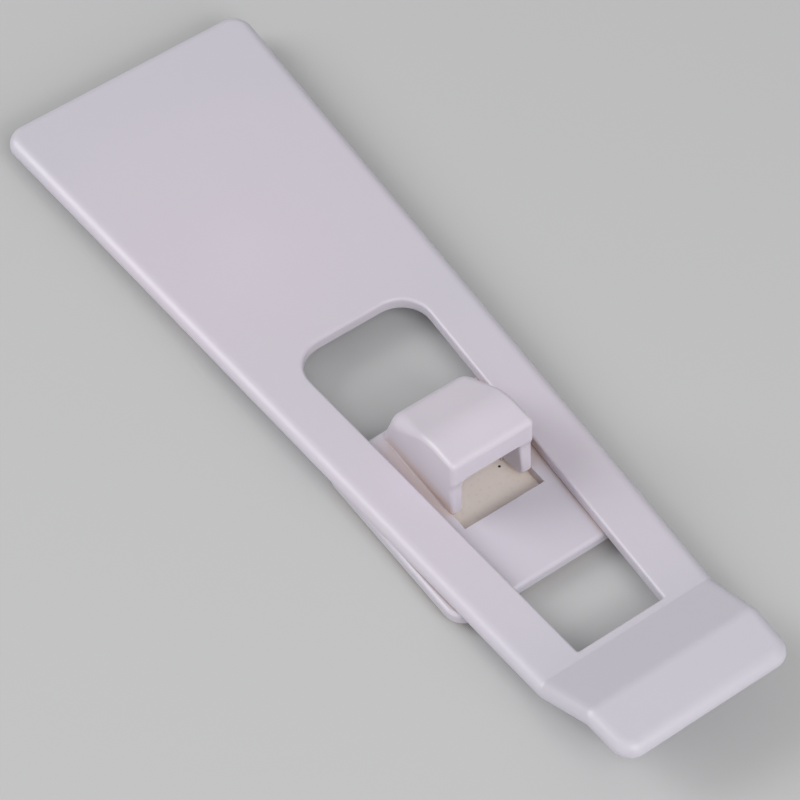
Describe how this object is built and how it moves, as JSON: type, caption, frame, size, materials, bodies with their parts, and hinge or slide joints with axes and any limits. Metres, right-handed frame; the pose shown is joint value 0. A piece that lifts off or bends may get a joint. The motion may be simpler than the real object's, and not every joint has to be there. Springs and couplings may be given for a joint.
{
  "type": "cabinet safety lock",
  "caption": "Stick-on cabinet safety lock: a tapered springy strap with a window and a raised finger tab, held by a hooked catch plate, each on a foam adhesive pad.",
  "frame": {"origin": "middle of the lock's length and width, on the panel that both pads stick to", "axes": "+X from the strap's wide fixed end to its finger tab, +Y across the strap, +Z away from the panel"},
  "size_m": [0.14, 0.0422, 0.0141],
  "materials": {
    "white_plastic": "satin moulded white plastic",
    "foam_tape": "matt closed-cell foam with a beige adhesive skin",
    "release_paper": "waxed release paper"
  },
  "bodies": {
    "anchor": {"strap_anchor": "white_plastic", "anchor_pad": "foam_tape", "anchor_liner": "release_paper"},
    "arm": {"strap_arm": "white_plastic"},
    "catch": {"catch_plate": "white_plastic", "catch_pad": "foam_tape", "catch_liner": "release_paper"}
  },
  "joints": [
    {"name": "strap_flex", "type": "hinge", "parent": "anchor", "child": "arm", "pos_m": [-0.016, 0, 0.00535], "axis": [0, -1, 0], "range_deg": [0, 14], "stiffness_Nm_per_rad": 0.9},
    {"name": "drawer_slide", "type": "slide", "parent": "anchor", "child": "catch", "axis": [1, 0, 0], "range_m": [-0.0167, 0.0279]}
  ]
}
